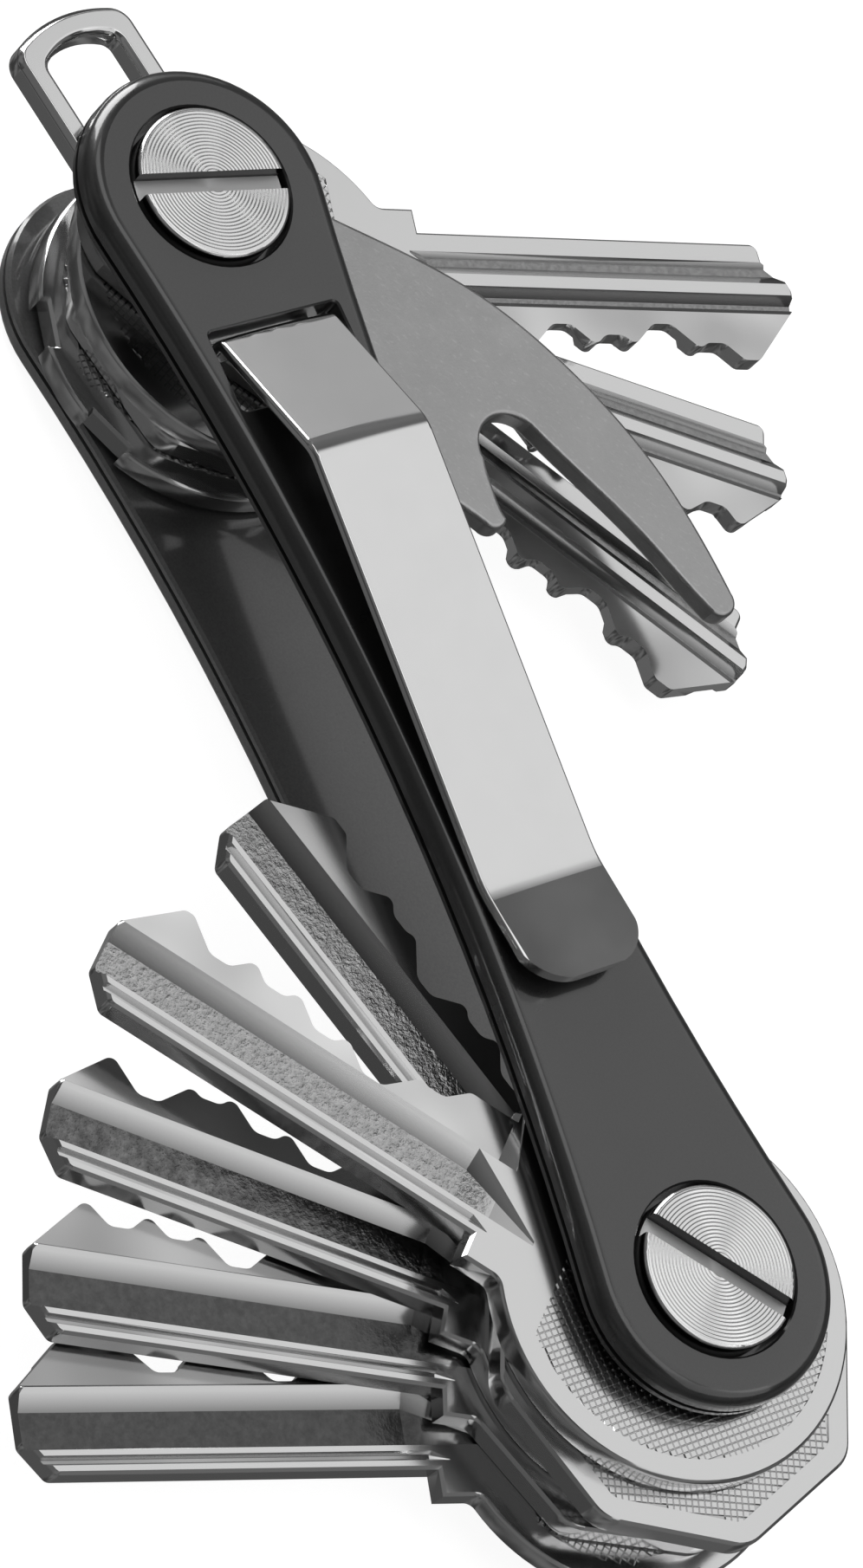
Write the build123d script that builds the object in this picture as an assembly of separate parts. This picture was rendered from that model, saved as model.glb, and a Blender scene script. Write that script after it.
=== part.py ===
from build123d import *
import os
from math import hypot

# Pocket key organiser: two dark plates on two screw posts. Five keys turn on the far post. A ring
# loop, a bottle opener and three keys turn on the loop-end post. A steel pocket clip is held under
# the front plate and comes up through its window.
# Millimetres. +Z is out of the front plate, +X runs from the loop end to the far end, and the
# origin is the middle of the back plate's outer face.

# Plates
POST_SPACING = 75.0
PLATE_THICKNESS = 2.5
INNER_GAP = 11.0
PLATE_END_RADIUS = 8.5
PLATE_WAIST_HALF_WIDTH = 5.1
PLATE_EDGE_RADIUS = 1.1
BACK_PLATE_SHORTER = 1.5
PLATE_INNER_CHAMFER = 0.2
SIDE_GROOVE_HEIGHT = 0.35
SIDE_GROOVE_DEPTH = 0.3
SIDE_GROOVE_LEVEL = 0.55
WINDOW_START = -28.2
WINDOW_END = -22.6
WINDOW_HALF_WIDTH = 5.05
WINDOW_CORNER = 0.4

# Posts and screws
POST_RADIUS = 2.5
PIVOT_CLEARANCE = 0.05
COUNTERBORE_RADIUS = 5.6
COUNTERBORE_DEPTH = 1.5
OPENING_BEVEL = 0.12
HEAD_RADIUS = 5.25
HEAD_PROUD = 0.6
HEAD_EDGE_RADIUS = 0.25
POST_HEAD_SUNK = 0.1
SLOT_WIDTH = 1.4
SLOT_DEPTH = 1.0
POST_SLOT_TURN = 60.0
THREAD_RADIUS = 1.6
THREAD_CLEARANCE = 0.05
THREAD_LENGTH = 8.0
LOOP_SCREW_SLOT_ANGLE = 80.0
FAR_SCREW_SLOT_ANGLE = 40.0
FAR_WASHER_THICKNESS = 0.5
LOOP_WASHER_THICKNESS = 0.3
WASHER_RADIUS = 5.2

# Moving pieces
KEY_THICKNESS = 1.9
OPENER_THICKNESS = 1.6
LOOP_THICKNESS = 2.0
CLIP_THICKNESS = 0.9
STACK_GAP = (INNER_GAP - 2 * FAR_WASHER_THICKNESS - 5 * KEY_THICKNESS) / 6

# Keys
HEAD_TO_SHOULDER = 13.3
KEY_HEAD_RADIUS = 12.2
FACET_CORNER_EXTRA = 0.9
FACET_CORNER_FILLET = 2.5
KEY_NECK_HALF_WIDTH = 6.0
KEY_NECK_FILLET = 0.9
KEY_EDGE = 0.2
HEAD_NOTCH_ANGLES = (100, 140, 220, 260)
HEAD_NOTCH_DEPTH = 0.7
HEAD_NOTCH_WIDTH = 3.2
BLADE_LENGTH = 27.6
BLADE_HALF_WIDTH = 4.3
CUT_SPACING = 3.9
CUT_HALF_FLAT = 0.7
FIRST_CUT = 5.6
CUT_SLOPE = 1.1
CUT_FLOOR_FILLET = 0.9
CUT_PEAK_ROUNDING = 0.6

# Milled profiles of the blades. Each cut is its low edge, high edge, slope at each of them, depth,
# how far it runs past the shoulder into the head, and the length over which it thins out there
FAR_END_PROFILE = [
    (-6.3, -1.05, 0.25, 0.2, 0.35, 1.0, 1.2),
    (-1.05, 2.8, 1.35, 0.25, 0.75, 3.8, 5.5),
    (3.15, 3.75, 0.2, 0.2, 0.4, 0.8, 1.2),
]
LOOP_END_PROFILE = [
    (-6.3, -0.7, 0.25, 0.15, 0.2, 1.0, 1.2),
    (-0.7, 0.5, 0.3, 0.5, 0.75, 1.6, 2.0),
    (1.35, 2.9, 0.75, 0.25, 0.6, 1.0, 1.5),
]
UNDER_GROOVE = (-2.9, -0.9, 0.4, 0.4, 0.7, 1.2, 1.5)
# Corners of a blade's tip: distance back from the very end, and height above its centre line
FAR_END_TIP = [(1.6, 4.3), (0, 2.3), (0, -1.1), (3.4, -4.3)]
LOOP_END_TIP = [(2.0, 4.3), (1.9, 3.0), (0.3, 1.6), (0, 0.9), (0.1, -0.4), (3.8, -4.3)]
GROOVE_TIP_SCALE = 0.08

# Knurled field on both faces of a key's head
KNURL_DEPTH = 0.12
KNURL_MARGIN = 1.5
KNURL_INNER_RADIUS = 5.6
KNURL_NECK_CLEARANCE = 5.0

# Pocket clip
CLIP_HALF_WIDTH = 4.5
CLIP_RISE_HEIGHT = 0.2
CLIP_CROWN = 0.12
CLIP_EDGE_RADIUS = 0.25
CLIP_BEND_RADII = (0.7, 0.7, 2.6, 7.0)
CLIP_RISE_X = -27.3
CLIP_CREST_X = -17.8
CLIP_CREST_HEIGHT = 4.4
CLIP_CONTACT_X = 10.9
CLIP_CONTACT_GAP = 0.15
CLIP_TIP_X = 18.2
CLIP_TIP_HEIGHT = 2.3
CLIP_TIP_CORNER = 3.2

# Ring loop and bottle opener
LOOP_REACH = 15.0
LOOP_HALF_WIDTH = 4.75
LOOP_BULGE = 1.2
LOOP_CORNER = 1.6
LOOP_EYE_RADIUS = 5.0
LOOP_HOLE_START = 6.6
LOOP_HOLE_END = 13.25
LOOP_HOLE_HALF_WIDTH = 3.0
LOOP_HOLE_CORNER = 0.9
LOOP_EDGE = 0.35
OPENER_EDGE = 0.3

# Levels worked out from the sizes above
LOOP_END = -POST_SPACING / 2
FAR_END = POST_SPACING / 2
BACK_INSIDE = PLATE_THICKNESS
FRONT_INSIDE = BACK_INSIDE + INNER_GAP
FRONT_OUTSIDE = FRONT_INSIDE + PLATE_THICKNESS
PIVOT_HOLE = POST_RADIUS + PIVOT_CLEARANCE

# Bottle opener's outline, with its pivot at the origin and its nose towards +X
OPENER_BACK = [(-2.6, 5.5), (9.3, 8.2), (19.4, 9.9), (28.5, 8.9), (37.2, 5.7), (43.6, 1.6)]
OPENER_NOSE = [(43.6, 1.6), (44.2, 0.3), (43.0, -0.6)]
OPENER_JAW = [(43.0, -0.6), (36.5, 1.3), (26.6, 3.4)]
OPENER_THROAT = [(26.6, 3.4), (23.9, 1.6), (24.9, -0.9)]
OPENER_HOOK = [(24.9, -0.9), (26.2, -2.4), (28.0, -3.9)]
OPENER_HOOK_END = [(28.0, -3.9), (27.8, -4.9), (26.8, -5.2)]
OPENER_BELLY = [(26.8, -5.2), (14.0, -6.1), (-2.6, -5.5)]
OPENER_EYE = [(-2.6, -5.5), (-6.1, 0), (-2.6, 5.5)]

# The keys on each post, from the lowest up: name, rest angle of the blade, offset of the blade's
# centre line from the post, distance from the post to the middle of the key's head, how far the
# head sits to one side of the blade, change of blade length, head shape, and depths of the
# bitting cuts from the shoulder to the tip
FAR_END_KEYS = [
    ("far_end_key_1", 252.5, 4.6, 1.6, 0, -0.4, "notched", (1.6, 2.9, 1.2, 2.3, 0.8)),
    ("far_end_key_2", 244.4, 2.2, 0.8, 0, -0.6, "faceted", (2.4, 1.0, 2.7, 1.5, 1.3)),
    ("far_end_key_3", 232.4, 0.9, 0.8, 0, -0.6, "notched", (1.2, 2.6, 1.8, 0.9, 2.2)),
    ("far_end_key_4", 196.2, 2.1, -2.4, 0, 0.8, "faceted", (2.0, 1.4, 2.5, 1.0, 1.7)),
    ("far_end_key_5", 219.5, 0.9, 0.8, 0, 0.2, "round", (1.3, 3.0, 2.2, 1.4, 1.7)),
]
LOOP_END_KEYS = [
    ("loop_end_key_1", 35.0, 3.3, 6.4, -3.5, 0.9, "notched", (1.2, 2.4, 1.9, 2.6, 1.4)),
    ("loop_end_key_2", 57.3, -1.5, 7.6, 0.6, -1.2, "faceted", (2.9, 2.2, 2.8, 1.2, 1.6)),
    ("loop_end_key_3", 75.5, -3.2, 5.8, 0, 0.6, "round", (1.0, 2.3, 1.6, 2.5, 1.2)),
]
OPENER_ANGLE = 38.0
LOOP_ANGLE = 189.5


def plate_outline(start, finish):
    """Rounded ends about two points on X, joined by long hollow arcs that narrow to the waist."""
    half = (finish - start) / 2
    rise = half**2 + PLATE_WAIST_HALF_WIDTH**2 - PLATE_END_RADIUS**2
    waist_radius = rise / (2 * (PLATE_END_RADIUS - PLATE_WAIST_HALF_WIDTH))
    centre_height = PLATE_WAIST_HALF_WIDTH + waist_radius
    reach = hypot(half, centre_height)
    x = half - PLATE_END_RADIUS * half / reach
    y = PLATE_END_RADIUS * centre_height / reach
    end = half + PLATE_END_RADIUS
    edges = [
        ThreePointArc((x, y), (end, 0), (x, -y)),
        ThreePointArc((x, -y), (0, -PLATE_WAIST_HALF_WIDTH), (-x, -y)),
        ThreePointArc((-x, -y), (-end, 0), (-x, y)),
        ThreePointArc((-x, y), (0, PLATE_WAIST_HALF_WIDTH), (x, y)),
    ]
    return Pos((start + finish) / 2, 0) * make_face(Wire(edges))


def plate(start):
    """A plate with its inner face at z = 0 and its outer, rounded face upwards."""
    outline = plate_outline(start, FAR_END)
    body = extrude(outline, PLATE_THICKNESS)
    body = fillet(body.faces().sort_by(Axis.Z)[-1].edges(), PLATE_EDGE_RADIUS)
    body = chamfer(body.faces().sort_by(Axis.Z)[0].edges(), PLATE_INNER_CHAMFER)
    rim = outline - offset(outline, -SIDE_GROOVE_DEPTH)
    body -= Pos(0, 0, SIDE_GROOVE_LEVEL) * extrude(rim, SIDE_GROOVE_HEIGHT)
    for x in (LOOP_END, FAR_END):
        body -= Pos(x, 0, 0) * extrude(Circle(POST_RADIUS + PIVOT_CLEARANCE), PLATE_THICKNESS)
        seat = PLATE_THICKNESS - COUNTERBORE_DEPTH
        body -= Pos(x, 0, seat) * extrude(Circle(COUNTERBORE_RADIUS), COUNTERBORE_DEPTH)
    rims = body.faces().sort_by(Axis.Z)[-1].inner_wires().edges()
    return chamfer(rims, OPENING_BEVEL)


def front_plate():
    """The plate with the window that the pocket clip comes up through."""
    window = RectangleRounded(WINDOW_END - WINDOW_START, 2 * WINDOW_HALF_WIDTH, WINDOW_CORNER)
    middle = (WINDOW_START + WINDOW_END) / 2
    body = plate(LOOP_END) - Pos(middle, 0, 0) * extrude(window, PLATE_THICKNESS)
    top = body.faces().sort_by(Axis.Z)[-1].edges()
    rim = top.filter_by(lambda e: WINDOW_START - 0.1 < e.center().X < WINDOW_END + 0.1)
    rim = rim.filter_by(lambda e: abs(e.center().Y) < WINDOW_HALF_WIDTH + 0.01)
    return Pos(0, 0, FRONT_INSIDE) * chamfer(rim, OPENING_BEVEL)


def back_plate():
    """The same plate with its outer face down, a little shorter, and with no window."""
    return Pos(0, 0, BACK_INSIDE) * mirror(plate(LOOP_END + BACK_PLATE_SHORTER), about=Plane.XY)


def slotted_head(height, slot_angle):
    """A round head standing on z = 0, with a screwdriver slot right across its top."""
    head = extrude(Circle(HEAD_RADIUS), height)
    head = fillet(head.faces().sort_by(Axis.Z)[-1].edges(), HEAD_EDGE_RADIUS)
    slot = extrude(Rectangle(3 * HEAD_RADIUS, SLOT_WIDTH), SLOT_DEPTH)
    return head - Pos(0, 0, height - SLOT_DEPTH) * Rot(0, 0, slot_angle) * slot


def front_screw(x, slot_angle):
    """The short screw that closes the front plate onto the post."""
    seat = FRONT_OUTSIDE - COUNTERBORE_DEPTH
    head = Pos(0, 0, seat) * slotted_head(COUNTERBORE_DEPTH + HEAD_PROUD, slot_angle)
    thread = Pos(0, 0, seat - THREAD_LENGTH) * extrude(Circle(THREAD_RADIUS), THREAD_LENGTH)
    return Pos(x, 0, 0) * (head + thread)


def post(x, slot_angle):
    """The hollow post that the keys turn on, with its own head in the back plate."""
    head_height = COUNTERBORE_DEPTH - POST_HEAD_SUNK
    top = FRONT_OUTSIDE - COUNTERBORE_DEPTH
    head = Pos(0, 0, COUNTERBORE_DEPTH) * mirror(slotted_head(head_height, slot_angle), about=Plane.XY)
    barrel = Pos(0, 0, COUNTERBORE_DEPTH) * extrude(Circle(POST_RADIUS), top - COUNTERBORE_DEPTH)
    bore_length = THREAD_LENGTH + 1
    bore = Pos(0, 0, top - bore_length) * extrude(Circle(THREAD_RADIUS + THREAD_CLEARANCE), bore_length)
    return Pos(x, 0, 0) * (head + barrel - bore)


def washer(x, level, thickness):
    """A thin steel washer round a post."""
    return Pos(x, 0, level) * extrude(Circle(WASHER_RADIUS) - Circle(PIVOT_HOLE), thickness)


def pocket_clip():
    """Spring steel strip: an eye under the front plate, up through the window, and a long tongue."""
    half = CLIP_THICKNESS / 2
    points = [
        (LOOP_END - CLIP_HALF_WIDTH, FRONT_INSIDE - half),
        (CLIP_RISE_X, FRONT_INSIDE - half),
        (CLIP_RISE_X, FRONT_OUTSIDE - half + CLIP_RISE_HEIGHT),
        (CLIP_CREST_X, FRONT_OUTSIDE + CLIP_CREST_HEIGHT - half),
        (CLIP_CONTACT_X, FRONT_OUTSIDE + CLIP_CONTACT_GAP + half),
        (CLIP_TIP_X, FRONT_OUTSIDE + CLIP_TIP_HEIGHT - half),
    ]
    path = Plane.XZ * FilletPolyline(*points, radius=CLIP_BEND_RADII)
    start = Plane(origin=path @ 0, x_dir=(0, 1, 0), z_dir=(1, 0, 0))
    side, shoulder = CLIP_HALF_WIDTH, half - CLIP_CROWN
    crown = ThreePointArc((-side, shoulder), (0, half), (side, shoulder))
    rest = Polyline((side, shoulder), (side, -half), (-side, -half), (-side, shoulder))
    section = make_face(Wire([crown, *rest.edges()]))
    section = start * fillet(section.vertices(), CLIP_EDGE_RADIUS)
    strip = sweep(section, path=path)
    length = CLIP_TIP_X - LOOP_END
    tongue = Pos(LOOP_END + length / 2, 0, 0) * Rectangle(length, 2 * CLIP_HALF_WIDTH)
    tongue = fillet(tongue.vertices().group_by(Axis.X)[-1], CLIP_TIP_CORNER)
    outline = tongue + Pos(LOOP_END, 0, 0) * Circle(CLIP_HALF_WIDTH)
    tall = FRONT_OUTSIDE + 2 * CLIP_CREST_HEIGHT
    strip = strip & extrude(outline, tall)
    return strip - Pos(LOOP_END, 0, 0) * extrude(Circle(PIVOT_HOLE), tall)


def ring_loop():
    """A flat steel stirrup on the post, for a key ring. It points along +X before it is turned."""

    def stirrup(start, end, half, radius, swell):
        sides = Polyline((end - swell, half), (start, half), (start, -half), (end - swell, -half))
        nose = ThreePointArc((end - swell, half), (end, 0), (end - swell, -half))
        face = make_face(Wire([*sides.edges(), *nose.edges()]))
        return fillet(face.vertices().filter_by(lambda v: v.X > start + 1), radius)

    body = stirrup(POST_RADIUS, LOOP_REACH, LOOP_HALF_WIDTH, LOOP_CORNER, LOOP_BULGE)
    body += Circle(LOOP_EYE_RADIUS)
    hole = stirrup(
        LOOP_HOLE_START, LOOP_HOLE_END, LOOP_HOLE_HALF_WIDTH, LOOP_HOLE_CORNER, 0.8 * LOOP_BULGE
    )
    hole = fillet(hole.vertices().group_by(Axis.X)[0], LOOP_HOLE_CORNER)
    loop = extrude(body - hole - Circle(PIVOT_HOLE), LOOP_THICKNESS)
    return chamfer(outline_edges(loop), LOOP_EDGE)


def outline_edges(solid):
    """Every edge of the solid's flat top and bottom faces, but not those of the pivot hole."""
    faces = solid.faces().filter_by(Axis.Z).sort_by(Axis.Z)
    edges = faces[0].edges() + faces[-1].edges()
    return ShapeList([e for e in edges if hypot(e.center().X, e.center().Y) > 0.5 or e.length > 20])


def bottle_opener():
    """A flat steel opener: a long nose over the cap and a short hook under it."""
    back = Spline(*OPENER_BACK, tangents=[(0.95, 0.3), (0.8, -0.6)])
    nose = ThreePointArc(*OPENER_NOSE)
    jaw = Spline(*OPENER_JAW, tangents=[(-1, 0.22), (-1, 0.25)])
    throat = ThreePointArc(*OPENER_THROAT)
    hook = Spline(*OPENER_HOOK, tangents=[(0.5, -0.8), (0.8, -0.4)])
    hook_end = ThreePointArc(*OPENER_HOOK_END)
    belly = Spline(*OPENER_BELLY, tangents=[(-1, 0.05), (-0.9, 0.15)])
    eye = ThreePointArc(*OPENER_EYE)
    outline = make_face(Wire([back, nose, jaw, throat, hook, hook_end, belly, eye]))
    opener = extrude(outline - Circle(PIVOT_HOLE), OPENER_THICKNESS)
    return fillet(outline_edges(opener), OPENER_EDGE)


def head_shape(shape):
    """The outline of a key's head, with its middle at the origin and the blade towards +X."""
    if shape == "round":
        return Circle(KEY_HEAD_RADIUS)
    if shape == "faceted":
        octagon = RegularPolygon(KEY_HEAD_RADIUS + FACET_CORNER_EXTRA, 8, rotation=22.5)
        return fillet(octagon.vertices(), FACET_CORNER_FILLET)
    head = Circle(KEY_HEAD_RADIUS)
    notch = Rectangle(4 * HEAD_NOTCH_DEPTH, HEAD_NOTCH_WIDTH)
    for angle in HEAD_NOTCH_ANGLES:
        head -= Rot(0, 0, angle) * Pos(KEY_HEAD_RADIUS + HEAD_NOTCH_DEPTH, 0, 0) * notch
    return head


def bitting(shoulder, depths):
    """The cuts along the blade's lower edge: flat bottoms with sloping sides."""
    cuts = Sketch()
    overrun = 0.5
    for index, depth in enumerate(depths):
        x = shoulder + FIRST_CUT + index * CUT_SPACING
        top = CUT_HALF_FLAT + CUT_SLOPE * (depth + overrun)
        low = -BLADE_HALF_WIDTH - overrun
        floor = -BLADE_HALF_WIDTH + depth
        corners = [(x - top, low), (x + top, low), (x + CUT_HALF_FLAT, floor), (x - CUT_HALF_FLAT, floor)]
        cut = make_face(Polyline(*corners, close=True))
        cuts += fillet(cut.vertices().group_by(Axis.Y)[-1], CUT_FLOOR_FILLET)
    return cuts


def milled_groove(shoulder, finish, low, high, low_slope, high_slope, depth, run_in, taper):
    """A groove along the blade, below z = 0. It thins out towards its high edge in the head."""
    corners = [(low, 0), (high, 0), (high - high_slope, -depth), (low + low_slope, -depth)]

    def slice_at(x, scale):
        scaled = [(high + scale * (y - high), scale * z) for y, z in corners]
        return Plane.YZ.offset(x) * make_face(Polyline(*scaled, close=True))

    start = shoulder - run_in
    full = slice_at(start + taper, 1)
    run_out = loft([slice_at(start, GROOVE_TIP_SCALE), full], ruled=True)
    return run_out + extrude(full, finish - start - taper)


def key(offset_from_post, head_distance, head_side, extra_length, shape, depths, profile, nose):
    """A house key along +X with its pivot hole at the origin and its lower face at z = 0."""
    shoulder = head_distance + HEAD_TO_SHOULDER
    tip = shoulder + BLADE_LENGTH + extra_length
    half = BLADE_HALF_WIDTH

    # Blade: straight back edge above, long sloping nose below
    nose_corners = [(tip - back, y) for back, y in nose]
    corners = [(head_distance, half), *nose_corners, (head_distance, -half)]
    blade = make_face(Polyline(*corners, close=True)) - bitting(shoulder, depths)
    blade = offset(offset(blade, -CUT_PEAK_ROUNDING), CUT_PEAK_ROUNDING)
    neck_length = HEAD_TO_SHOULDER
    neck = Pos(head_distance + neck_length / 2, 0) * Rectangle(neck_length, 2 * KEY_NECK_HALF_WIDTH)
    head = Pos(head_distance, head_side) * head_shape(shape) + neck
    neck_ends = head.vertices().filter_by(lambda v: abs(abs(v.Y) - KEY_NECK_HALF_WIDTH) < 0.01)
    inner_corners = neck_ends.filter_by(lambda v: head_distance + 5 < v.X < shoulder - KEY_NECK_FILLET)
    head = fillet(inner_corners, KEY_NECK_FILLET)
    body = extrude(head + blade, KEY_THICKNESS)
    body = chamfer(outline_edges(body), KEY_EDGE)

    # Profile of the blade: a lowered bitting land and two grooves above, and one groove below
    top = Pos(0, 0, KEY_THICKNESS)
    for sizes in profile:
        body -= top * milled_groove(shoulder, tip + 1, *sizes)
    body -= mirror(milled_groove(shoulder, tip + 1, *UNDER_GROOVE), about=Plane.XY)

    # Shallow field on both faces of the head, which carries the knurling
    middle = Pos(head_distance, head_side)
    keep_off = Pos(KEY_HEAD_RADIUS, 0) * Rectangle(2 * KNURL_NECK_CLEARANCE, 4 * KEY_HEAD_RADIUS)
    disc = offset(head_shape(shape), -KNURL_MARGIN) - Circle(KNURL_INNER_RADIUS) - keep_off
    field = middle * disc
    body -= Pos(0, 0, KEY_THICKNESS - KNURL_DEPTH) * extrude(field, KNURL_DEPTH)
    body -= extrude(field, KNURL_DEPTH)
    body = Pos(0, offset_from_post, 0) * body
    return body - extrude(Circle(PIVOT_HOLE), KEY_THICKNESS)


def save(shape, name):
    export_step(shape, f"parts/{name}.step")


os.makedirs("parts", exist_ok=True)
save(front_plate(), "front_plate")
save(back_plate(), "back_plate")
save(pocket_clip(), "pocket_clip")
save(washer(FAR_END, BACK_INSIDE, FAR_WASHER_THICKNESS), "far_end_lower_washer")
save(washer(FAR_END, FRONT_INSIDE - FAR_WASHER_THICKNESS, FAR_WASHER_THICKNESS), "far_end_upper_washer")
save(washer(LOOP_END, BACK_INSIDE, LOOP_WASHER_THICKNESS), "loop_end_washer")
for end_name, post_x, slot_turn in (
    ("loop_end", LOOP_END, LOOP_SCREW_SLOT_ANGLE),
    ("far_end", FAR_END, FAR_SCREW_SLOT_ANGLE),
):
    save(front_screw(post_x, slot_turn), f"{end_name}_screw")
    save(post(post_x, slot_turn + POST_SLOT_TURN), f"{end_name}_post")

level = BACK_INSIDE + FAR_WASHER_THICKNESS + STACK_GAP
for name, angle, *sizes in FAR_END_KEYS:
    blank = key(*sizes, FAR_END_PROFILE, FAR_END_TIP)
    save(Pos(FAR_END, 0, level) * Rot(0, 0, angle) * blank, name)
    level += KEY_THICKNESS + STACK_GAP

level = BACK_INSIDE + LOOP_WASHER_THICKNESS + STACK_GAP
for name, angle, *sizes in LOOP_END_KEYS:
    blank = key(*sizes, LOOP_END_PROFILE, LOOP_END_TIP)
    save(Pos(LOOP_END, 0, level) * Rot(0, 0, angle) * blank, name)
    level += KEY_THICKNESS + STACK_GAP
save(Pos(LOOP_END, 0, level) * Rot(0, 0, OPENER_ANGLE) * bottle_opener(), "bottle_opener")
level += OPENER_THICKNESS + STACK_GAP
save(Pos(LOOP_END, 0, level) * Rot(0, 0, LOOP_ANGLE) * ring_loop(), "ring_loop")
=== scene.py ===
from math import asin, atan2, cos, pi, radians, sin

import bmesh
import bpy
from mathutils import Euler, Matrix, Vector
from mathutils.bvhtree import BVHTree


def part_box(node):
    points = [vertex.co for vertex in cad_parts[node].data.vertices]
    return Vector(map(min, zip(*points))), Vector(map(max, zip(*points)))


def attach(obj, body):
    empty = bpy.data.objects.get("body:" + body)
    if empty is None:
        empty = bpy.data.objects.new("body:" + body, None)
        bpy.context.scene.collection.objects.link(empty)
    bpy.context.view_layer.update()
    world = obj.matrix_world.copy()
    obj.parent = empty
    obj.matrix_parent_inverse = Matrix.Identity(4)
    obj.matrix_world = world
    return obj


# Key organiser: two satin black plates on two turned steel screws, a polished pocket clip, a ring
# loop, a bottle opener and eight keys. The CAD nodes are shown with their own finishes, and this
# script adds the fine work on them: turned rings on the screw heads and knurling on the key heads.
# Everything is in metres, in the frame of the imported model.

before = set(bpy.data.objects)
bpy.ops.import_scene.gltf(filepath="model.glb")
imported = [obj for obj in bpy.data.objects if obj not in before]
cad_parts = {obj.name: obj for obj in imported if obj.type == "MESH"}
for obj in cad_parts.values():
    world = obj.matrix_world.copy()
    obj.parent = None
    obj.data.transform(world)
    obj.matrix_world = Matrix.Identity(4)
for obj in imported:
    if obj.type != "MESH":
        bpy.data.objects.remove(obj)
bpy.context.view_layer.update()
MM = 0.001

# Camera: azimuth 0 looks along +Y, and roll turns the picture about the line of sight
AIM = Vector((1.58, 1.69, 8.0)) * MM
CAMERA_AZIMUTH = 18.49
CAMERA_ELEVATION = 53.03
CAMERA_DISTANCE = 412.2 * MM
CAMERA_ROLL = 50.16
CAMERA_LENS = 151.17
SENSOR = 36.0

# Plates: satin black, with a fine grain and broad clouds under a thin glossy coat
PLATE_GREY = 0.016
# Painted light: the back plate is the same satin black, but its face under the front plate gets a lighter
# grey
BACK_PLATE_PAINTED_LIGHT_GREY = 0.075
PLATE_ROUGHNESS = (0.26, 0.33)
COAT_ROUGHNESS = 0.08
PLATE_GRAIN = 0.16 * MM
PLATE_CLOUD = 7 * MM

# Polished and turned steel
CLIP_GREY = 0.73
CLIP_ROUGHNESS = 0.12
LOOP_ROUGHNESS = 0.11
POST_GREY = 0.55
POST_ROUGHNESS = 0.25
WEAR_CLOUD = 3 * MM
TURNED_GREY = 0.78
TURNED_ROUGHNESS = 0.2
TURNED_ANISOTROPY = 0.6
# Painted shade: the grey that the turned steel's steep walls, in the slots and round the heads, darken to
WALL_PAINTED_SHADE_GREY = 0.1
SLOT_FLOOR_ROUGHNESS = 0.7
SLOT_FLOOR_DEPTHS = (0.6 * MM, 0.9 * MM)

# Bottle opener: the lay of its scuffs is the direction of its nose
OPENER_GREY = 0.44
OPENER_LAY = 38
OPENER_ROUGHNESS = (0.28, 0.44)
OPENER_GRAIN = 0.14 * MM
OPENER_CLOUD = 4 * MM
SCUFF_WIDTH = 0.2 * MM
SCUFF_STRETCH = 2.5

# Keys: a land is the milled side below the key's top face, and a floor is a groove's bottom. Each
# finish, and the painted shade down the groove flanks, sets in between two depths under the top face
KEY_GREY = 0.68
KEY_ROUGHNESS = 0.16
FLOOR_ROUGHNESS = 0.22
# How dark the painted shade makes a flank deep in a groove, as a share of the key's grey
DEEP_FLANK_PAINTED_SHADE = 0.42
LAND_DEPTHS = (0.06 * MM, 0.18 * MM)
FLANK_SHADE_DEPTHS = (0.15 * MM, 0.75 * MM)
FLOOR_DEPTHS = (0.45 * MM, 0.6 * MM)
DRIFT_SIZE = 9 * MM
BLOTCH_SIZE = 1.1 * MM
PEBBLE_SIZE = 0.4 * MM
LINE_WIDTH = 0.25 * MM
LINE_STRETCH = 14
LINE_DEPTH = 0.004 * MM
# The greys of each key's land and of its groove floors, how blotchy the floors are, and the depth
# of their pebbles
KEY_TONES = {
    "far_end_key_1": (0.38, 0.10, 0.3, 0.02 * MM),
    "far_end_key_2": (0.44, 0.11, 0.3, 0.02 * MM),
    "far_end_key_3": (0.56, 0.22, 1.0, 0.05 * MM),
    "far_end_key_4": (0.42, 0.46, 0.5, 0.12 * MM),
    "far_end_key_5": (0.66, 0.47, 0.2, 0.09 * MM),
    "loop_end_key_1": (0.55, 0.27, 0.1, 0.02 * MM),
    "loop_end_key_2": (0.56, 0.28, 0.1, 0.02 * MM),
    "loop_end_key_3": (0.58, 0.29, 0.1, 0.02 * MM),
}

# Studio: the glows and the surround are radiances
STAGE_SIZE = 3.0
BACKDROP_RADIUS = 2.9
STAGE_FLOOR_GREY = 0.25
FLOOR_GLOW = 0.92
BACKDROP_GLOW = 0.92
SURROUND_LOW = 0.05
SURROUND_HIGH = 0.18
SURROUND_SCALE = 2.2
# A soft round glow in the sky: its middle, and the angles within which it is full and past which
# there is none
SKY_GLOW = 0.88
SKY_MIDDLE = (0.10, 0.62, 0.778)
SKY_INNER = 22
SKY_OUTER = 31
# Softboxes: a spot to each one's middle in metres, its width and height, and its radiance
SOFTBOXES = {
    "top_strip": ((-0.134, -0.02, 0.99), 1.36, 0.42, 1.1),
    "right_box": ((0.68, 0.17, 0.71), 0.62, 0.93, 0.75),
    "side_panel": ((-0.80, 0.60, 0.30), 0.5, 0.34, 0.4),
    "end_panel": ((-0.92, 0.12, 0.30), 0.6, 0.56, 7.0),
}

# Turned rings on the screw and post heads. RING_SUNK is the share of a ring's height that lies
# under the head's face, and the angles are those of the slots
POST_X = 37.5 * MM
FACE_RADIUS = 5.0 * MM
SLOT_HALF_WIDTH = 0.7 * MM
SLOT_ANGLES = {"loop_end": 80, "far_end": 40}
POST_SLOT_TURN = 60
RING_PITCH = 0.24 * MM
RING_HEIGHT = 0.032 * MM
RING_SUNK = 0.1
ROWS_PER_RING = 6
RING_ARCS = 48

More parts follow.
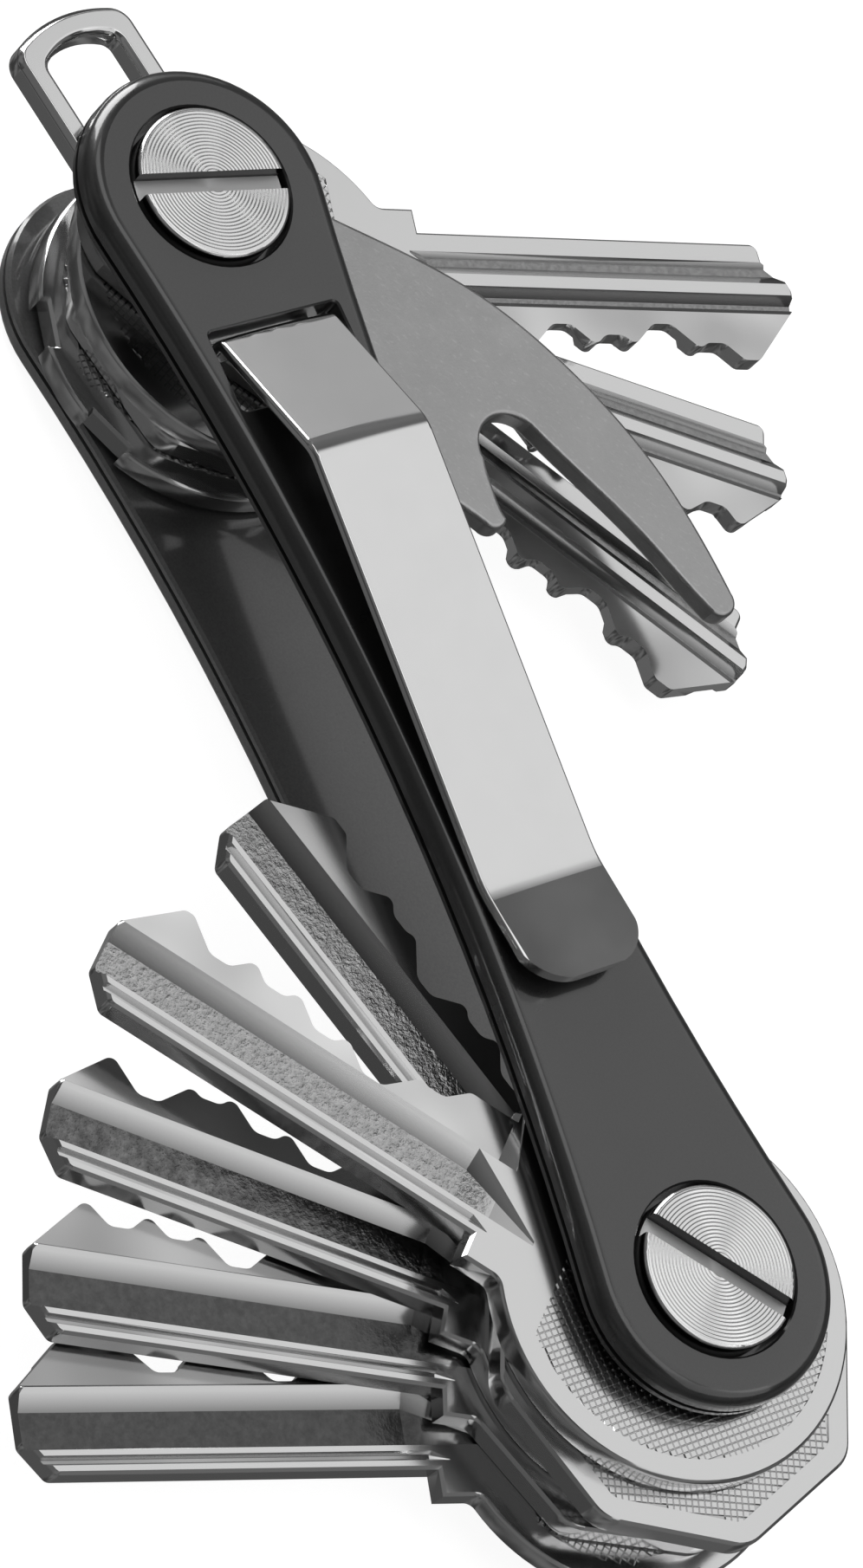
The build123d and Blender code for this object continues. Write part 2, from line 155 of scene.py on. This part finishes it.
# Knurling on the key heads: square pads in rows at an angle to the blade, out to a reach that takes
# in the whole head. KNURL_TOP is the size of a pad's top to its foot, and KNURL_SUNK the share of
# the recess's depth by which a foot goes under its floor
KNURL_PITCH = 0.44 * MM
KNURL_HEIGHT = 0.11 * MM
KNURL_TOP = 0.72
KNURL_TURN = 45
KNURL_REACH = 20.5 * MM
KNURL_RECESS = 0.12 * MM
KNURL_SUNK = 0.1

# Rounding of edges sharper than an angle
KEY_ROUNDING = 0.06 * MM
LOOP_ROUNDING = 0.12 * MM
SHARP_ANGLE = 30
WELD_DISTANCE = 0.0005 * MM


def shade(name, grey, roughness, metallic=1.0):
    """A new material, and its Principled shader."""
    material = bpy.data.materials.new(name)
    material.use_nodes = True
    shader = material.node_tree.nodes["Principled BSDF"]
    shader.inputs["Base Color"].default_value = (grey, grey, grey, 1)
    shader.inputs["Roughness"].default_value = roughness
    shader.inputs["Metallic"].default_value = metallic
    return material, shader


def add(material, kind, **settings):
    """A node of that kind, with its properties and its inputs' values set by name."""
    node = material.node_tree.nodes.new(kind)
    for key, value in settings.items():
        if hasattr(node, key):
            setattr(node, key, value)
        else:
            node.inputs[key.replace("_", " ").title()].default_value = value
    return node


def link(material, source, target):
    """Links one node's output to another's input."""
    material.node_tree.links.new(source, target)


def coordinates(material, stretch=(1, 1, 1), turn=0.0, centre=(0, 0, 0)):
    """Object coordinates, moved to a centre, turned about Z and stretched."""
    place = add(material, "ShaderNodeTexCoord")
    mapping = add(
        material, "ShaderNodeMapping", vector_type="TEXTURE",
        Location=centre, Rotation=(0, 0, turn), Scale=stretch,
    )
    link(material, place.outputs["Object"], mapping.inputs["Vector"])
    return mapping.outputs["Vector"]


def z_of(material, vector):
    """The Z part of a vector."""
    parts = add(material, "ShaderNodeSeparateXYZ")
    link(material, vector, parts.inputs["Vector"])
    return parts.outputs["Z"]


def facing_up(material):
    """How far the surface faces up: 1 on level ground, and 0 on a wall."""
    return z_of(material, add(material, "ShaderNodeNewGeometry").outputs["Normal"])


def noise(material, where, size, detail=4.0, roughness=0.6):
    """Noise with features of about that size."""
    node = add(material, "ShaderNodeTexNoise", Scale=1 / size, Detail=detail, Roughness=roughness)
    link(material, where, node.inputs["Vector"])
    return node.outputs["Fac"]


def spread(material, value, low, high, start=0.3, end=0.7):
    """Maps a value that runs from start to end onto low to high, and clamps it there."""
    node = add(
        material, "ShaderNodeMapRange", From_Min=start, From_Max=end, To_Min=low, To_Max=high,
    )
    link(material, value, node.inputs["Value"])
    return node.outputs["Result"]


def below(material, height, top, depths):
    """0 above the first depth under top, 1 below the second, and a slope between them."""
    shallow, deep = depths
    return spread(material, height, 1, 0, top - deep, top - shallow)


def product(material, first, second):
    """The product of two values."""
    times = add(material, "ShaderNodeMath", operation="MULTIPLY")
    link(material, first, times.inputs[0])
    link(material, second, times.inputs[1])
    return times.outputs["Value"]


def blend(material, amount, first, second):
    """From the first value to the second, by a 0-1 amount. Either may be a plain number."""
    mix = add(material, "ShaderNodeMix", data_type="FLOAT")
    for socket, value in (("Factor", amount), ("A", first), ("B", second)):
        if isinstance(value, float):
            mix.inputs[socket].default_value = value
        else:
            link(material, value, mix.inputs[socket])
    return mix.outputs["Result"]


def grey_of(material, value, shader):
    """Feeds a single value to the base colour as a grey."""
    colour = add(material, "ShaderNodeCombineColor")
    for channel in ("Red", "Green", "Blue"):
        link(material, value, colour.inputs[channel])
    link(material, colour.outputs["Color"], shader.inputs["Base Color"])


def bump(material, height, distance, strength, shader, chain=None):
    """Bump from a 0-1 height, over another bump if there is one."""
    node = add(material, "ShaderNodeBump", Distance=distance, Strength=strength)
    link(material, height, node.inputs["Height"])
    if chain is not None:
        link(material, chain, node.inputs["Normal"])
    link(material, node.outputs["Normal"], shader.inputs["Normal"])
    return node.outputs["Normal"]


def black_anodised(name, grey):
    """Satin black with a fine even grain, under a thin glossy coat."""
    material, shader = shade(name, grey, PLATE_ROUGHNESS[1], metallic=0.0)
    shader.inputs["Specular IOR Level"].default_value = 0.6
    shader.inputs["Coat Weight"].default_value = 1.0
    shader.inputs["Coat Roughness"].default_value = COAT_ROUGHNESS
    where = coordinates(material)
    grain = noise(material, where, PLATE_GRAIN, detail=2)
    cloud = noise(material, where, PLATE_CLOUD)
    link(material, spread(material, cloud, *PLATE_ROUGHNESS), shader.inputs["Roughness"])
    grey_of(material, spread(material, grain, 0.85 * grey, 1.2 * grey), shader)
    bump(material, grain, 0.01 * MM, 0.15, shader)
    return material


def polished_steel(name, grey, roughness):
    """Bright steel, with soft clouds of wear."""
    material, shader = shade(name, grey, roughness)
    cloud = noise(material, coordinates(material), WEAR_CLOUD)
    worn = spread(material, cloud, 0.9 * roughness, 1.12 * roughness)
    link(material, worn, shader.inputs["Roughness"])
    grey_of(material, spread(material, cloud, 0.985 * grey, 1.01 * grey), shader)
    return material


def turned_steel(name, centre, top):
    """Steel faced on a lathe about that centre, with a blasted slot floor, and painted shade darkening its
    steep walls.
    """
    material, shader = shade(name, TURNED_GREY, TURNED_ROUGHNESS)
    shader.inputs["Anisotropic"].default_value = TURNED_ANISOTROPY
    link(material, coordinates(material, centre=centre), shader.inputs["Tangent"])
    # Painted shade: the steeper a face, the darker its grey
    grey_of(material, spread(material, facing_up(material), WALL_PAINTED_SHADE_GREY, TURNED_GREY, 0.1, 0.5), shader)
    sunk = below(material, z_of(material, coordinates(material)), top, SLOT_FLOOR_DEPTHS)
    rough = spread(material, sunk, TURNED_ROUGHNESS, SLOT_FLOOR_ROUGHNESS, 0, 1)
    link(material, rough, shader.inputs["Roughness"])
    return material


def key_steel(name, lay, post, top, tones):
    """Nickel plate, bright on the flats, with painted shade deepening down the groove flanks. Lands and
    milled floors take their own darker greys, and the floors are rougher and pebbled.
    """
    land_grey, floor_grey, blotchiness, pebble_depth = tones
    material, shader = shade(name, KEY_GREY, KEY_ROUGHNESS)
    where = coordinates(material)
    along = coordinates(material, (LINE_STRETCH, 1, 1), lay, post)
    height = z_of(material, where)
    facing = facing_up(material)

    level = spread(material, facing, 0, 1, 0.94, 0.985)
    sloping = spread(material, facing, 0, 1, 0.3, 0.6)
    on_land = product(material, level, below(material, height, top, LAND_DEPTHS))
    on_floor = product(material, level, below(material, height, top, FLOOR_DEPTHS))
    on_shaded_flank = product(material, below(material, height, top, FLANK_SHADE_DEPTHS), sloping)

    drift = noise(material, where, DRIFT_SIZE, detail=1)
    pebbles = noise(material, where, PEBBLE_SIZE, detail=3)
    blotches = noise(material, where, BLOTCH_SIZE, detail=6, roughness=0.75)
    lines = noise(material, along, LINE_WIDTH, detail=3)

    land = spread(material, drift, 0.8 * land_grey, 1.3 * land_grey)
    # Painted shade: a groove's flank grows darker the deeper it runs
    painted_flank_shade = blend(material, on_shaded_flank, KEY_GREY, DEEP_FLANK_PAINTED_SHADE * KEY_GREY)
    dull = spread(material, blotches, 0, 1, 0.35, 0.62)
    clouded = blend(material, dull, floor_grey, floor_grey * (1 - 0.55 * blotchiness))
    floor = product(material, clouded, spread(material, pebbles, 0.88, 1.12, 0.35, 0.65))
    upper = blend(material, on_land, painted_flank_shade, land)
    grey_of(material, blend(material, on_floor, upper, floor), shader)

    rough = spread(material, on_floor, KEY_ROUGHNESS, FLOOR_ROUGHNESS, 0, 1)
    link(material, rough, shader.inputs["Roughness"])
    under = bump(material, product(material, on_floor, pebbles), pebble_depth, 1.0, shader)
    bump(material, lines, LINE_DEPTH, 0.15, shader, chain=under)
    return material


def opener_steel():
    """Satin steel with a fine grain, clouds of wear and short scuffs along its length."""
    material, shader = shade("opener_steel", OPENER_GREY, OPENER_ROUGHNESS[0])
    where = coordinates(material)
    along = coordinates(material, (SCUFF_STRETCH, 1, 1), radians(OPENER_LAY))
    fine = noise(material, where, OPENER_GRAIN, detail=2)
    patches = noise(material, where, OPENER_CLOUD, detail=6, roughness=0.7)
    clouds = spread(material, patches, 0.88 * OPENER_GREY, 1.12 * OPENER_GREY)
    scuffs = spread(material, noise(material, along, SCUFF_WIDTH, detail=3), 1, 1.15, 0.58, 0.7)
    link(material, spread(material, patches, *OPENER_ROUGHNESS), shader.inputs["Roughness"])
    grey_of(material, product(material, clouds, scuffs), shader)
    bump(material, fine, 0.015 * MM, 0.4, shader)
    return material


def dress(name, material):
    """Gives a CAD node its finish."""
    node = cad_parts[name]
    node.data.materials.clear()
    node.data.materials.append(material)


def soften(name, width):
    """Rounds the sharp edges of a CAD node a little, as handling does."""
    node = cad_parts[name]
    weld = node.modifiers.new("weld", "WELD")
    weld.merge_threshold = WELD_DISTANCE
    bevel = node.modifiers.new("soft_edges", "BEVEL")
    bevel.width = width
    bevel.segments = 2
    bevel.limit_method = "ANGLE"
    bevel.angle_limit = radians(SHARP_ANGLE)
    bevel.harden_normals = True


def object_from(name, work):
    """Turns a bmesh into an object in the scene."""
    mesh = bpy.data.meshes.new(name)
    work.to_mesh(mesh)
    work.free()
    made = bpy.data.objects.new(name, mesh)
    bpy.context.scene.collection.objects.link(made)
    return made


def new_piece(name, work, material, body):
    """A piece from a bmesh, riding on a body."""
    piece = object_from(name, work)
    piece.data.materials.append(material)
    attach(piece, body)


def camera():
    """The camera, turned and aimed as the sizes above say."""
    view = bpy.data.cameras.new("camera")
    view.lens = CAMERA_LENS
    view.sensor_width = SENSOR
    view.clip_start = 0.01
    seen_from = Euler((radians(90 - CAMERA_ELEVATION), 0, radians(CAMERA_AZIMUTH))).to_matrix()
    turned = seen_from @ Matrix.Rotation(radians(CAMERA_ROLL), 3, "Z")
    camera_object = bpy.data.objects.new("camera", view)
    camera_object.matrix_world = (
        Matrix.Translation(AIM + CAMERA_DISTANCE * seen_from.col[2]) @ turned.to_4x4()
    )
    bpy.context.scene.collection.objects.link(camera_object)
    bpy.context.scene.camera = camera_object


def softbox(name, spot, width, height, level):
    """A rectangular light at that spot, facing the object, of that radiance."""
    lamp = bpy.data.lights.new(name, "AREA")
    lamp.shape = "RECTANGLE"
    lamp.size = width
    lamp.size_y = height
    lamp.energy = level * width * height * pi
    away = Vector(spot).normalized()
    upright = Vector((0, 1, 0)) if away.z > 0.6 else Vector((0, 0, 1))
    across = upright.cross(away).normalized()
    turned = Matrix((across, away.cross(across), away)).transposed().to_4x4()
    holder = bpy.data.objects.new(name, lamp)
    holder.matrix_world = Matrix.Translation(spot) @ turned
    bpy.context.scene.collection.objects.link(holder)


def stage_piece(name, work, grey, roughness, glow):
    """A softly glowing floor or backdrop from a bmesh, and its shader."""
    thing = object_from(name, work)
    paint, shader = shade(f"{name}_paint", grey, roughness, metallic=0.0)
    shader.inputs["Emission Color"].default_value = (1, 1, 1, 1)
    shader.inputs["Emission Strength"].default_value = glow
    thing.data.materials.append(paint)
    return thing, shader


def surround():
    """A dim uneven surround for the reflections, with a soft round glow in it."""
    world = bpy.data.worlds.new("surround")
    world.use_nodes = True
    nodes, links = world.node_tree.nodes, world.node_tree.links
    direction = nodes.new("ShaderNodeTexCoord").outputs["Generated"]
    wave = nodes.new("ShaderNodeTexNoise")
    wave.inputs["Scale"].default_value = SURROUND_SCALE
    wave.inputs["Detail"].default_value = 1.0
    links.new(direction, wave.inputs["Vector"])
    toward = nodes.new("ShaderNodeVectorMath")
    toward.operation = "DOT_PRODUCT"
    toward.inputs[1].default_value = SKY_MIDDLE
    links.new(direction, toward.inputs[0])
    layers = (
        (wave.outputs["Fac"], 0.35, 0.65, SURROUND_LOW, SURROUND_HIGH),
        (toward.outputs["Value"], cos(radians(SKY_OUTER)), cos(radians(SKY_INNER)), 0, SKY_GLOW),
    )
    brighter = nodes.new("ShaderNodeMath")
    brighter.operation = "MAXIMUM"
    for index, (value, start, end, low, high) in enumerate(layers):
        level = nodes.new("ShaderNodeMapRange")
        level.interpolation_type = "SMOOTHSTEP"
        level.inputs["From Min"].default_value = start
        level.inputs["From Max"].default_value = end
        level.inputs["To Min"].default_value = low
        level.inputs["To Max"].default_value = high
        links.new(value, level.inputs["Value"])
        links.new(level.outputs["Result"], brighter.inputs[index])
    links.new(brighter.outputs["Value"], nodes["Background"].inputs["Color"])
    bpy.context.scene.world = world


def studio():
    """Pale floor and backdrop, softboxes around and overhead, and the surround."""
    work = bmesh.new()
    bmesh.ops.create_grid(work, x_segments=8, y_segments=8, size=STAGE_SIZE)
    floor = stage_piece("floor", work, STAGE_FLOOR_GREY, 0.8, FLOOR_GLOW)[0]
    floor.visible_glossy = False

    work = bmesh.new()
    bmesh.ops.create_uvsphere(work, u_segments=48, v_segments=24, radius=BACKDROP_RADIUS)
    backdrop, shader = stage_piece("backdrop", work, 0, 1, BACKDROP_GLOW)
    shader.inputs["Specular IOR Level"].default_value = 0
    for ray in ("glossy", "diffuse", "shadow", "transmission"):
        setattr(backdrop, f"visible_{ray}", False)

    surround()
    for name, (spot, width, height, level) in SOFTBOXES.items():
        softbox(name, spot, width, height, level)
    bpy.context.scene.view_settings.view_transform = "Standard"


def turned_face(name, centre, slot_angle, up, material):
    """Fine turned rings on a screw or post head, in two halves either side of its slot."""
    work = bmesh.new()
    rings = int((FACE_RADIUS - SLOT_HALF_WIDTH) / RING_PITCH * ROWS_PER_RING)
    for side in (1, -1):
        rows = []
        for index in range(rings + 1):
            r = SLOT_HALF_WIDTH + (FACE_RADIUS - SLOT_HALF_WIDTH) * index / rings
            start = asin(SLOT_HALF_WIDTH / r)
            wave = 0.5 - 0.5 * cos(2 * pi * (FACE_RADIUS - r) / RING_PITCH)
            height = RING_HEIGHT * (wave - RING_SUNK)
            row = []
            for step in range(RING_ARCS + 1):
                a = start + (pi - 2 * start) * step / RING_ARCS
                row.append(work.verts.new((r * cos(a), side * r * sin(a), height)))
            rows.append(row)
        for lower, upper in zip(rows, rows[1:]):
            for step in range(RING_ARCS):
                corners = (lower[step], upper[step], upper[step + 1], lower[step + 1])
                work.faces.new(corners if side > 0 else corners[::-1])
    for face in work.faces:
        face.smooth = True
    place = Matrix.Translation(centre) @ Matrix.Rotation(radians(slot_angle), 4, "Z")
    if not up:
        place = place @ Matrix.Rotation(pi, 4, "X")
    bmesh.ops.transform(work, matrix=place, verts=work.verts)
    new_piece(name, work, material, "handle")


def on_recess(tree, point, floor_z, toward):
    """Whether the level floor of the knurled field is right under that point of a key's head."""
    start = Vector((point.x, point.y, floor_z + toward * 2 * KNURL_RECESS))
    hit, normal = tree.ray_cast(start, Vector((0, 0, -toward)), 4 * KNURL_RECESS)[:2]
    return hit is not None and abs(hit.z - floor_z) < 0.1 * KNURL_RECESS and abs(normal.z) > 0.99


def pad(work, foot, centre, floor_z, toward):
    """One blunt pyramid of the knurling, on those four corners."""
    lower = [work.verts.new((p.x, p.y, floor_z - toward * KNURL_SUNK * KNURL_RECESS)) for p in foot]
    tops = [centre + KNURL_TOP * (p - centre) for p in foot]
    upper = [work.verts.new((q.x, q.y, floor_z + toward * KNURL_HEIGHT)) for q in tops]
    walls = [[lower[k], lower[(k + 1) % 4], upper[(k + 1) % 4], upper[k]] for k in range(4)]
    for corners in [upper] + walls:
        work.faces.new(corners if toward > 0 else corners[::-1])


def knurling(name, lay, post, material):
    """Rows of pads on the recessed fields of a key's head, top and bottom."""
    low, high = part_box(name)
    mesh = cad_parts[name].data
    bare = BVHTree.FromPolygons([v.co[:] for v in mesh.vertices], [p.vertices[:] for p in mesh.polygons])
    turn = Matrix.Rotation(lay + radians(KNURL_TURN), 3, "Z")
    count = int(KNURL_REACH / KNURL_PITCH)
    half = KNURL_PITCH / 2
    square = [Vector((a * half, b * half, 0)) for a, b in ((-1, -1), (1, -1), (1, 1), (-1, 1))]
    for side, face_z, toward in (("top", high[2], 1), ("under", low[2], -1)):
        work = bmesh.new()
        floor_z = face_z - toward * KNURL_RECESS
        for row in range(-count, count + 1):
            for column in range(-count, count + 1):
                middle = Vector((column * KNURL_PITCH, row * KNURL_PITCH, 0))
                foot = [post + turn @ (middle + corner) for corner in square]
                centre = sum(foot, Vector()) / 4
                if on_recess(bare, centre, floor_z, toward):
                    pad(work, foot, centre, floor_z, toward)
        new_piece(f"{name}_knurling_{side}", work, material, name)


def dress_post(end, x):
    """Finishes a screw and its post, with turned rings on both heads, and gives the post's steel."""
    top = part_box(f"{end}_screw")[1][2]
    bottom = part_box(f"{end}_post")[0][2]
    slot_angle = SLOT_ANGLES[end]
    turned = turned_steel(f"turned_steel_{end}", (x, 0, 0), top)
    post_steel = polished_steel(f"post_steel_{end}", POST_GREY, POST_ROUGHNESS)
    dress(f"{end}_screw", turned)
    dress(f"{end}_post", post_steel)
    turned_face(f"{end}_screw_rings", Vector((x, 0, top)), slot_angle, True, turned)
    turned_face(
        f"{end}_post_rings", Vector((x, 0, bottom)), slot_angle + POST_SLOT_TURN, False,
        post_steel,
    )
    return post_steel


def dress_key(name):
    """A key's finish, rounded edges and knurling. Its lay runs from its post to its tip."""
    post = Vector((-POST_X if name.startswith("loop") else POST_X, 0, 0))
    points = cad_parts[name].data.vertices
    tip = max((v.co for v in points), key=lambda p: (p.xy - post.xy).length)
    lay = atan2(tip.y - post.y, tip.x - post.x)
    nickel = key_steel(f"key_nickel_{name}", lay, post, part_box(name)[1][2], KEY_TONES[name])
    dress(name, nickel)
    soften(name, KEY_ROUNDING)
    knurling(name, lay, post, nickel)


camera()
studio()

dress("front_plate", black_anodised("plate_black", PLATE_GREY))
# The back plate gets a lighter copy of the plate finish, as painted light
dress("back_plate", black_anodised("plate_black_back_painted_light", BACK_PLATE_PAINTED_LIGHT_GREY))
dress("pocket_clip", polished_steel("clip_steel", CLIP_GREY, CLIP_ROUGHNESS))
dress("ring_loop", polished_steel("loop_steel", CLIP_GREY, LOOP_ROUGHNESS))
dress("bottle_opener", opener_steel())
soften("ring_loop", LOOP_ROUNDING)
dress_post("loop_end", -POST_X)
washer_steel = dress_post("far_end", POST_X)
for name in ("far_end_lower_washer", "far_end_upper_washer", "loop_end_washer"):
    dress(name, washer_steel)
for name in KEY_TONES:
    dress_key(name)
